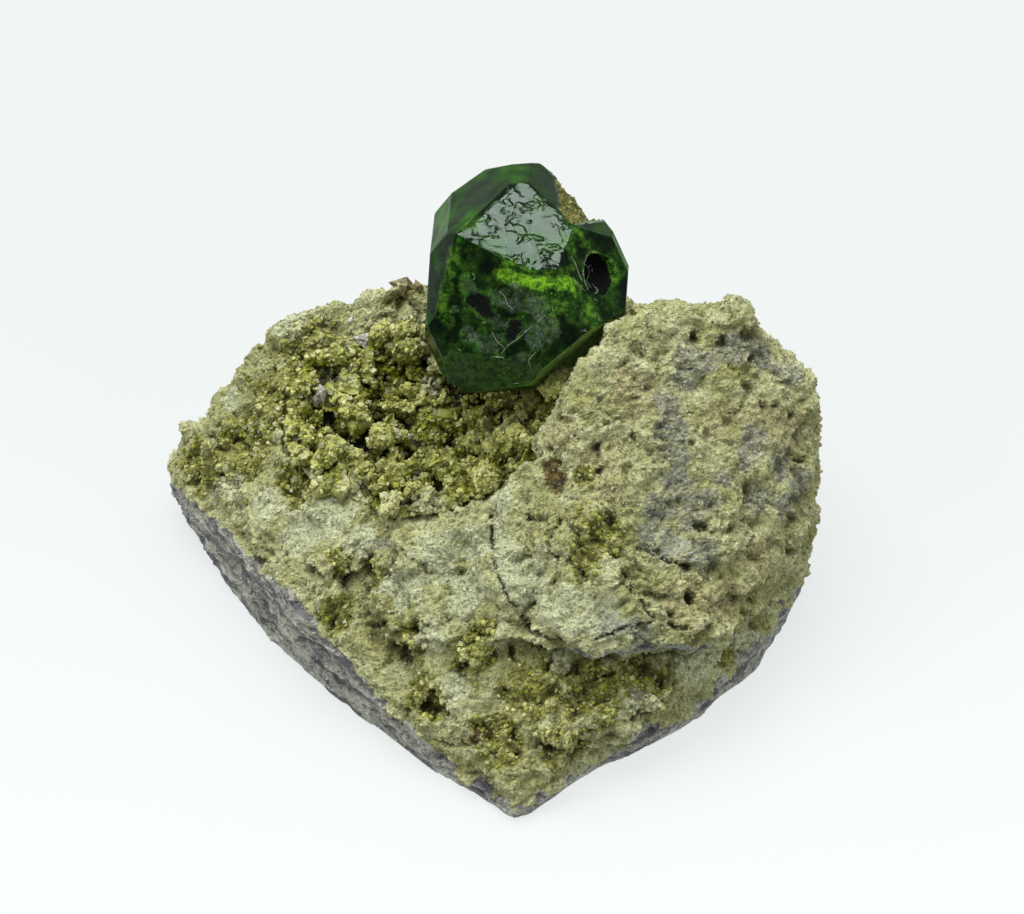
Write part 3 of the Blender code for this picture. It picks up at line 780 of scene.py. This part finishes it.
gem = {  # sizes in mm, spots by pixel and radius in mm, lines by pixel
    "latticeTurn": (22.4, -13.4, -35.7),  # degrees, as the solid is turned
    "facetArea": 0.3, "latticeFit": 0.9995, "bevel": 0.035, "mergeGap": 0.004,
    "cell": 0.17, "cutRounds": 7,
    "pitCentre": (5.3, 7.24, 16.6), "pitReach": 1.75, "pitRim": 0.2,
    "scarLump": 0.3, "scarLumpSize": 0.4, "scarHeights": (11, 12),
    "shineFaces": ((0.19, -0.05, 0.98),),
    # faces given a grey-green matt cover: partly frosted surface, partly painted sheen
    "dullAndSheenFaces": ((-0.84, 0.27, 0.47), (0.89, 0.17, 0.43)),
    "hazyAndSheenFaces": ((-0.46, 0.41, 0.79), (0.05, 0.44, 0.9), (-0.84, -0.25, 0.49), (0.54, 0.35, 0.76)),
    # a face painted dark: painted shade
    "dimFaces": ((-0.22, -0.96, 0.16),),
    "underFaces": ((0.62, -0.72, -0.33),),
    "dent": 0.1,
    "absorb": (0.42, 0.8, 0.2), "density": 560, "mirror": (0.3, 0.34, 0.31),
    "black": ((478, 307, 0.55), (490, 314, 0.35), (470, 299, 0.25), (515, 325, 0.4), (512, 341, 0.4),
              (524, 319, 0.2), (500, 352, 0.2), (462, 316, 0.25), (545, 318, 0.15)),
    "film": ((512, 297, 1.0), (530, 305, 0.9), (545, 330, 0.8), (500, 320, 0.5), (534, 338, 0.7),
             (488, 342, 0.7), (468, 335, 0.5), (455, 310, 0.3), (520, 358, 0.6), (470, 285, 0.5)),
    # glow lines: painted glow, a bright green cover and bright chips inside the crystal
    "glow": (((502, 275), (516, 280), (532, 284), (552, 283), (573, 284)),), "glowWidth": 0.36,
    "faintGlow": (
        ((454, 250), (449, 276), (443, 296), (442, 308), (449, 321)), ((466, 230), (474, 225), (483, 221)),
        ((588, 300), (600, 326)), ((568, 238), (572, 252), (574, 268)), ((610, 262), (616, 280)),
        ((508, 264), (526, 273), (546, 276), (566, 272)), ((578, 232), (585, 244)),
    ),
    "faintWidth": 0.34, "faintShare": 0.5,
    # sparkle spots: painted glints, as bright chips and a faint painted glow
    "sparkle": ((590, 318, 0.8), (606, 328, 0.6), (560, 305, 0.7), (575, 292, 0.6), (548, 322, 0.6),
                (520, 284, 0.5), (545, 290, 0.5), (446, 312, 0.4)),
    "dusty": ((450, 350, 0.8), (585, 350, 0.6), (470, 300, 0.8), (500, 292, 0.7), (438, 340, 0.6)),
    # painted shade: a dark cover at these spots along the underside edge, on the dim face and at the foot
    # of the crystal
    "dusk": ((601, 334, 0.7), (590, 347, 0.8), (578, 357, 0.8), (565, 366, 0.8), (552, 374, 0.7),
             (466, 286, 0.5)),
    "paintedShadeShare": 0.8, "footHeights": (13.7, 12.5),
    "footing": ((556, 376, 0.8), (568, 366, 0.9), (580, 356, 0.9), (592, 346, 0.9), (604, 336, 0.8)),
    "footSwell": 0.6,
    # white strands: the long ones are fibres on the crystal, the short ones painted glints
    "fibres": (
        ((499, 291), (505, 297), (507, 304), (513, 309)), ((531, 327), (520, 337), (509, 345), (501, 354)),
        ((512, 388), (518, 383), (525, 387), (521, 391)), ((525, 387), (532, 389), (538, 393)),
        ((585, 264), (589, 272), (587, 281), (591, 288)), ((592, 284), (596, 289), (594, 294)),
        ((505, 348), (497, 341), (492, 332)), ((536, 352), (529, 361), (531, 368)),
        ((575, 262), (578, 272), (582, 281)), ((573, 278), (579, 285), (585, 291)),
        ((586, 268), (591, 265)), ((592, 268), (592, 272)), ((596, 287), (598, 291), (595, 293)),
        ((613, 273), (616, 272)), ((594, 299), (598, 301)), ((482, 323), (486, 322)),
        ((552, 306), (553, 311)), ((593, 313), (595, 317)), ((598, 318), (600, 321)),
        ((545, 315), (538, 322)), ((472, 273), (475, 277), (473, 280)), ((458, 349), (461, 351)),
        ((571, 256), (574, 262)),
    ),
    "strandWidth": 0.017,
}


def latticeDirections():
    # the ways that the faces of one garnet crystal can point
    turn = Euler([math.radians(angle) for angle in gem["latticeTurn"]]).to_matrix()
    steps = range(-2, 3)
    kinds = ([0, 1, 1], [1, 1, 2])
    ways = [(h, k, l) for h in steps for k in steps for l in steps]
    faces = [Vector(way) for way in ways if sorted(map(abs, way)) in kinds]
    return np.array([(turn @ face).normalized() for face in faces])


def triangulated(bm):
    # no doubled points or flat faces are left, so that each triangle can be cut again
    bmesh.ops.remove_doubles(bm, verts=bm.verts, dist=gem["mergeGap"] * mm)
    bmesh.ops.dissolve_degenerate(bm, dist=gem["mergeGap"] * mm, edges=bm.edges)
    bmesh.ops.triangulate(bm, faces=bm.faces)


def cutCrystal():
    # the solid with worn edges between its crystal faces, cut into small triangles
    piece = mergedCopy("demantoid_crystal", "demantoid")
    mesh = piece.data
    bm = bmesh.new()
    bm.from_mesh(mesh)
    bmesh.ops.dissolve_limit(bm, verts=bm.verts, edges=bm.edges, angle_limit=math.radians(1))
    lattice = latticeDirections()
    large = [face for face in bm.faces if face.calc_area() > gem["facetArea"] * mm * mm]
    facets = [face for face in large if (lattice @ np.array(face.normal)).max() > gem["latticeFit"]]
    facetNormals = np.array([face.normal for face in facets])
    facetHeights = np.array([face.normal.dot(face.verts[0].co) / mm for face in facets])
    known = set(facets)
    rims = [edge for edge in bm.edges if len(edge.link_faces) == 2 and known.issuperset(edge.link_faces)]
    bmesh.ops.bevel(bm, geom=rims, offset=gem["bevel"] * mm, segments=2, profile=0.5, affect="EDGES",
                    clamp_overlap=True)
    triangulated(bm)
    for _ in range(gem["cutRounds"]):
        long = [edge for edge in bm.edges if edge.calc_length() > gem["cell"] * 1.4 * mm]
        if not long:
            break
        bmesh.ops.subdivide_edges(bm, edges=long, cuts=1)
        triangulated(bm)
    bm.to_mesh(mesh)
    bm.free()
    offFacet = np.abs(pointsOf(mesh) @ facetNormals.T - facetHeights).min(axis=1)
    return piece, offFacet


def facesLike(facing, name, low=0.97, high=0.99):
    # where the surface points the same way as one of the named faces
    return ramp((facing @ np.array(gem[name]).T).max(axis=1), low, high)


def shapeCrystal():
    piece, offFacet = cutCrystal()
    mesh = piece.data
    points = pointsOf(mesh)
    toPit = np.linalg.norm(points - np.array(gem["pitCentre"]), axis=1)
    tree = treeOf(piece)
    pit = ramp(toPit, gem["pitReach"], gem["pitReach"] - gem["pitRim"]) * ramp(offFacet, 0.01, 0.05)
    scar = ramp(offFacet, 0.03, 0.08) * (1 - pit) * ramp(points[:, 2], *gem["scarHeights"])
    facing = normalsOf(mesh)
    shine = facesLike(facing, "shineFaces", 0.995, 0.999)
    dull, hazyAndSheen, dim = (facesLike(facing, name) for name in ("dullAndSheenFaces", "hazyAndSheenFaces", "dimFaces"))
    # black spots: partly dark inclusions, partly painted shade in shallow dents
    black = smoothed(mesh, blobs(points, gem["black"], tree, 1.1), 3)
    rounded = smoothed(mesh, points, 10)
    points += (rounded - points) * ramp(pit, 0.05, 0.4)[:, None]

    facing = normalsOf(mesh)
    under = facesLike(facing, "underFaces", 0.75, 0.95)
    inward = scar * fieldOf(points, gem["scarLumpSize"], noise.noise) * gem["scarLump"]
    inward += black * gem["dent"]
    inward -= smoothed(mesh, under * blobs(points, gem["footing"], tree, 0.2), 6) * gem["footSwell"]
    setPoints(mesh, points - facing * inward[:, None])

    setMask(mesh, "pit", np.maximum(pit * ramp(offFacet, 0.02, 0.35), black))
    setMask(mesh, "scar", scar)
    setMask(mesh, "shine", smoothed(mesh, shine, 3))
    setMask(mesh, "dull", smoothed(mesh, np.maximum(dull, hazyAndSheen * 0.6), 2))
    setMask(mesh, "under", under)
    for name in ("film", "sparkle", "dusty", "dusk"):
        setMask(mesh, name, blobs(points, gem[name], tree, 0.7))
    # painted glow along the glow lines, fainter along the faint ones
    bright = alongLines(points, gem["glow"], tree, gem["glowWidth"])
    faint = alongLines(points, gem["faintGlow"], tree, gem["faintWidth"])
    # the sparkle spots add painted glints to the faint painted glow
    faint = np.maximum(faint, maskOf(piece, "sparkle"))
    setMask(mesh, "glow", np.maximum(bright, faint * gem["faintShare"]))
    # painted shade: darker towards the crystal's foot, on the dim face and at the given spots
    foot = ramp(points[:, 2], *gem["footHeights"])
    dark = np.maximum(maskOf(piece, "dusk"), smoothed(mesh, dim, 2)) * gem["paintedShadeShare"]
    setMask(mesh, "dusk", np.maximum(dark, foot))
    mesh.shade_smooth()
    mesh.set_sharp_from_angle(angle=math.radians(24))
    return piece


def crystalGlass(s, pitShare):
    # see-through green with an etched top face, dark and rough in the pits, their black partly dark
    # inclusions and partly painted shade
    flow = s.noise(0.6, 2, 0.5, distortion=1.0)
    drift = s.add("ShaderNodeTexNoise", None, {"Vector": s.place, "Scale": 1.5 / mm, "Detail": 2}, "Color")
    shift = {0: drift, 1: (0.8 * mm,) * 3, 2: s.place}
    bent = s.add("ShaderNodeVectorMath", {"operation": "MULTIPLY_ADD"}, shift)
    web = {"Vector": bent, "Scale": 1.1 / mm}
    figures = s.add("ShaderNodeTexVoronoi", {"feature": "DISTANCE_TO_EDGE"}, web)
    lines = s.step(figures, 0.0, 0.05) * s.step(s.noise(0.9, 2), 0.49, 0.58)
    scratch = s.noise(4.5, 3, 0.7)
    etched = (flow * 1.9 + lines * 0.4) * s.mask("shine") + scratch * 0.02 + s.noise(1.5, 2) * 0.08
    rough = s.step(s.mask("scar") + pitShare * 0.6, 0.1, 0.8, 0.04, 0.45)
    # black in the pits: partly dark inclusions, partly painted shade in the hollows
    colour = s.blend(pitShare, (0.92, 1.0, 0.88), (0.006, 0.008, 0.006))
    s.surface(Base_Color=colour, Roughness=rough, IOR=1.88, Transmission_Weight=1.0,
              Specular_Tint=gem["mirror"], Normal=s.bump(etched, 0.12))


def crystalCover(s, pitShare):
    # the thin cover that stands for veils, films, hollows and the broken skin, and carries painted glow,
    # painted shade, painted fill light and painted sheen
    cloud = s.noise(0.7, 4, 0.65)
    grit = s.noise(3.0, 4, 0.75)
    veil = s.twoTone(grit, 0.36, 0.64, (26, 70, 14), (88, 148, 44))
    # painted glow: bright green along the glow lines
    glowColour = s.twoTone(grit, 0.36, 0.64, (40, 96, 8), (132, 182, 38))
    stripes = s.noise(0.55, 3, 0.6, (1.0, 0.6, 1.6))
    # partly frosted surface, partly painted sheen
    hazeAndSheen = s.twoTone(stripes, 0.4, 0.6, (48, 62, 46), (54, 96, 32))
    # painted shade colour
    dim = s.twoTone(grit, 0.4, 0.6, (18, 32, 10), (36, 52, 22))
    threads = s.noise(3.0, 5, 0.8, (1.8, 0.6, 1.0), 1.0)
    film = s.twoTone(threads, 0.4, 0.6, (24, 36, 26), (92, 104, 92))
    bark = s.twoTone(s.noise(4, 4, 0.7), 0.38, 0.62, (40, 44, 14), (128, 126, 66))
    # partly the underside's dull olive skin, partly painted fill light against its deep shadow
    underSkinAndFill = s.twoTone(grit, 0.4, 0.6, (76, 108, 44), (118, 138, 72))

    glowShare = s.step(s.mask("glow") + (grit - 0.5) * 0.7, 0.05, 1.3)
    filmShare = s.step(s.mask("film") + (s.noise(2.6, 5, 0.8) - 0.5) * 2.2, 0.5, 1.3)
    dustShare = s.step(s.mask("dusty") * 0.1 + s.noise(6, 5, 0.8), 0.66, 0.9)
    scarShare = s.step(s.mask("scar"), 0.1, 0.6)
    dull, dusk, under = s.mask("dull"), s.mask("dusk"), s.mask("under")
    colour = s.blend(glowShare, s.blend(s.step(dull, 0.1, 0.5), veil, hazeAndSheen), glowColour)
    # the dark cover is painted shade, the underside cover partly painted fill light, and the pit black
    # partly painted shade
    layers = ((filmShare, film), (dustShare, film), (dusk, dim), (under, underSkinAndFill), (scarShare, bark),
              (pitShare, rgb(5, 7, 6)))
    for share, layer in layers:
        colour = s.blend(share, colour, layer)
    cover = s.step(cloud, 0.36, 0.66, 0.06, 0.3) + glowShare * 0.55 + filmShare * 0.4 + dustShare * 0.3
    cover = cover + scarShare + dull * 0.6 + dusk * 0.85 + under * 0.9 + pitShare * 0.9
    return colour, s.step(cover, 0.0, 1.0)


def crystalMaterial():
    s = materialSheet("demantoid")
    pitShare = s.step(s.mask("pit") + (s.noise(3.2, 5, 0.75) - 0.5) * 1.6, 0.15, 0.85)
    crystalGlass(s, pitShare)
    colour, cover = crystalCover(s, pitShare)
    glass = Term(s, s.tree.nodes["Principled BSDF"].outputs[0])
    matt = {"Base Color": colour, "Roughness": 0.7, "Specular IOR Level": 0.1,
            "Normal": s.bump(s.noise(6, 3), 0.1)}
    skin = s.add("ShaderNodeBsdfPrincipled", None, matt)
    absorbed = {"Color": gem["absorb"], "Density": gem["density"]}
    ends = s.tree.nodes["Material Output"].inputs
    s.feed(ends["Surface"], s.add("ShaderNodeMixShader", None, {0: cover, 1: glass, 2: skin}))
    s.feed(ends["Volume"], s.add("ShaderNodeVolumeAbsorption", None, absorbed))
    return s.owner


def makeFibresAndGlints(tree, finish):
    curve = bpy.data.curves.new("fibres", "CURVE")
    curve.dimensions = "3D"
    curve.bevel_depth = gem["strandWidth"] / 2 * mm
    curve.bevel_resolution = 1
    curve.resolution_u = 5
    curve.use_fill_caps = True
    for pixels in gem["fibres"]:
        hits = [tree.ray_cast(eye, photoRay(x, y)) for x, y in pixels]
        places = [hit + normal * gem["strandWidth"] * 0.6 * mm for hit, normal, *_ in hits if hit]
        strand = curve.splines.new("BEZIER")
        strand.bezier_points.add(len(places) - 1)
        for point, place in zip(strand.bezier_points, places):
            point.co = place
            point.handle_left_type = point.handle_right_type = "AUTO"
    strands = newPiece("fibres", curve)
    mesh = evaluatedMesh(strands)
    bpy.data.objects.remove(strands)
    mesh.name = "fibres"
    mesh.materials.clear()
    mesh.materials.append(finish)
    piece = newPiece("fibres", mesh)
    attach(piece, "root")


# Light and floor

studio = {
    # brightness against height, tipped to the far side
    "sky": ((0.0, 0.18), (0.68, 0.22), (0.8, 0.7), (0.95, 1.1)),
    "skyTip": 0.45,
    "skyTint": (0.97, 1.0, 1.01),
    "seen": (0.8245, 0.85, 0.8415),  # what the camera sees of it
    "through": 2.0,  # how much brighter the inside of the crystal sees it
    # what reflections see, against closeness to one direction
    "mirrored": ((0.0, 0.12), (0.93, 0.18), (0.985, 5.2)),
    "mirroredWay": (0.3, 0.57, 0.765),
    "mirroredTint": (0.82, 1.0, 0.92),
    # place, size and watts
    "softboxes": {
        "overhead": ((-0.12, 0.2, 0.6), 0.45, 4.1),
        "back": ((0.15, 0.285, 0.385), 0.2, 0.36),
        "left": ((-0.5, -0.1, 0.4), 0.3, 1.5),
        "right": ((0.5, -0.2, 0.35), 0.3, 1.0),
    },
    "floorSize": 0.11,
    "floorColour": (0.1, 0.103, 0.102),
    "floorGlow": 0.69,
    "floorNear": (1.08, 1.13, 1.12), "floorFar": (0.93, 0.97, 0.96), "floorFade": (-0.03, 0.035),
}


def greyRamp(s, name, share):
    tint = studio[name + "Tint"]
    stops = [(place, [grey * part for part in tint]) for place, grey in studio[name]]
    return s.add("ShaderNodeValToRGB", {"stops": stops}, {"Fac": share}, "Color")


def makeWorld():
    # one soft sky, brighter or darker for reflections, the crystal's inside and the camera
    world = bpy.data.worlds.new("studio")
    s = Sheet(world, "Generated")
    height = s.add("ShaderNodeSeparateXYZ", None, {0: s.place}, "Z")
    depth = s.add("ShaderNodeSeparateXYZ", None, {0: s.place}, "Y")
    tipped = depth * studio["skyTip"] + height
    sky = greyRamp(s, "sky", s.add("ShaderNodeMapRange", None, {"Value": tipped, "From Min": -1}))
    closeness = {0: s.place, 1: studio["mirroredWay"]}
    near = s.add("ShaderNodeVectorMath", {"operation": "DOT_PRODUCT"}, closeness, "Value")
    brighter = s.blend(1.0, sky, (studio["through"],) * 3, "MULTIPLY")
    colour = sky
    for ray, seen in (("Is Glossy Ray", greyRamp(s, "mirrored", near)), ("Is Transmission Ray", brighter),
                      ("Is Camera Ray", studio["seen"])):
        colour = s.blend(s.add("ShaderNodeLightPath", output=ray), colour, seen)
    s.feed(s.tree.nodes["Background"].inputs["Color"], colour)
    bpy.context.scene.world = world


def makeSoftboxes():
    for name, (place, size, watts) in studio["softboxes"].items():
        light = bpy.data.lights.new(name, "AREA")
        light.size = size
        light.energy = watts
        lamp = newPiece(name, light)
        lamp.location = place
        lamp.rotation_euler = (-Vector(place)).to_track_quat("-Z", "Y").to_euler()


def makeFloor():
    bm = bmesh.new()
    bmesh.ops.create_grid(bm, x_segments=1, y_segments=1, size=studio["floorSize"] / 2)
    floor = newPiece("floor", meshFrom(bm, "floor"))
    s = materialSheet("pale floor")
    along = s.add("ShaderNodeSeparateXYZ", None, {0: s.place}, "Y")
    glow = s.blend(s.step(along, *studio["floorFade"]), studio["floorNear"], studio["floorFar"])
    s.surface(Base_Color=studio["floorColour"], Roughness=0.9, Emission_Color=glow,
              Emission_Strength=studio["floorGlow"])
    floor.data.materials.append(s.owner)


makeWorld()
makeSoftboxes()
makeFloor()
bpy.context.scene.view_settings.view_transform = "Standard"
print("studio made")


# The pieces and their finishes

stone = shapeRock()
ground = shapeDruse()
crystal = shapeCrystal()
stone.data.materials.append(stoneMaterial("serpentinite"))
ground.data.materials.append(druseMaterial("olive crust", Roughness=0.6))
crystal.data.materials.append(crystalMaterial())
for piece, node, slot in ((stone, "matrix_rock", "matrix"), (ground, "garnet_druse", "druse"),
                          (crystal, "demantoid_crystal", "demantoid")):
    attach(piece, "root")
    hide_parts(node)
    print("  ", piece.name, len(piece.data.polygons), "faces")

garnet = garnetShape()
lump = lumpShape("lump shape", 20)
chip = lumpShape("chip shape", 8)

front = openSide(stone.data, -0.35, -0.1)
moss, raw = maskOf(stone, "moss"), maskOf(stone, "broken")
# painted glow and glints: bright chips along the glow lines and in the sparkle spots
glowSpots = np.maximum(ramp(maskOf(crystal, "glow"), 0.45, 1.0), maskOf(crystal, "sparkle") * 0.5)
for piece, name, chance in (
    (stone, "mossChance", moss * (1 - raw) * front),
    (stone, "grainChance", (1 - raw) * (1 - 0.7 * moss) * front),
    (ground, "druseChance", openSide(ground.data)),
    (crystal, "flakeChance", glowSpots), (crystal, "scarChance", maskOf(crystal, "scar")),
):
    setMask(piece.data, name, chance)

garnets = druseMaterial("small garnets", True, Roughness=0.25, IOR=1.8, Transmission_Weight=0.2)
olive = druseMaterial("olive crumbs", True, Roughness=0.55)
grains = stoneMaterial("rock grains", True)
# painted glow: bright green chips inside the crystal
glowFlakes = grainMaterial("painted glow flakes", (
    (0.0, rgb(110, 160, 20)), (0.5, rgb(160, 200, 50)), (1.0, rgb(215, 230, 120)),
), 0.5)
bark = grainMaterial("broken skin", (
    (0.0, rgb(40, 46, 14)), (0.4, rgb(88, 90, 36)), (0.75, rgb(126, 124, 62)), (1.0, rgb(180, 178, 120)),
), 0.6)
# white fibres, and painted glints on the short strands
strandFinish = materialSheet("white threads and painted glints")
strandFinish.surface(Base_Color=rgb(160, 166, 150), Roughness=0.6)
pale = mottledMaterial("pale crystals", 5, (150, 148, 136), (226, 222, 212),
                       Roughness=0.25, Transmission_Weight=0.3)
pale.surface(Normal=pale.bump(pale.noise(6, 3), 0.2))
brown = mottledMaterial("brown bits", 4, (64, 56, 34), (134, 122, 80), Roughness=0.6)
print("finishes made")

for name, surface, shape, finish, slot in (
    ("druse_garnets", ground, garnet, garnets, "druse"), ("druse_crumbs", ground, lump, olive, "druse"),
    ("moss_garnets", stone, garnet, garnets, "druse"), ("moss_crumbs", stone, lump, olive, "druse"),
    ("rock_grains", stone, chip, grains, "matrix"), ("rock_crumbs", stone, chip, grains, "matrix"),
    ("inner_flakes", crystal, chip, glowFlakes, "demantoid"),
    ("scar_grains", crystal, chip, bark, "demantoid"),
):
    grow(name, surface, shape, finish)
makeFibresAndGlints(treeOf(crystal), strandFinish.owner)
carrier = treeOf(stone, ground)
plantBits("pale_crystals", paleBits, chip, carrier, pale.owner)
plantBits("brown_bits", brownBits, chip, carrier, brown.owner)
for shape in (garnet, lump, chip):
    bpy.data.objects.remove(shape)
print("pieces made")
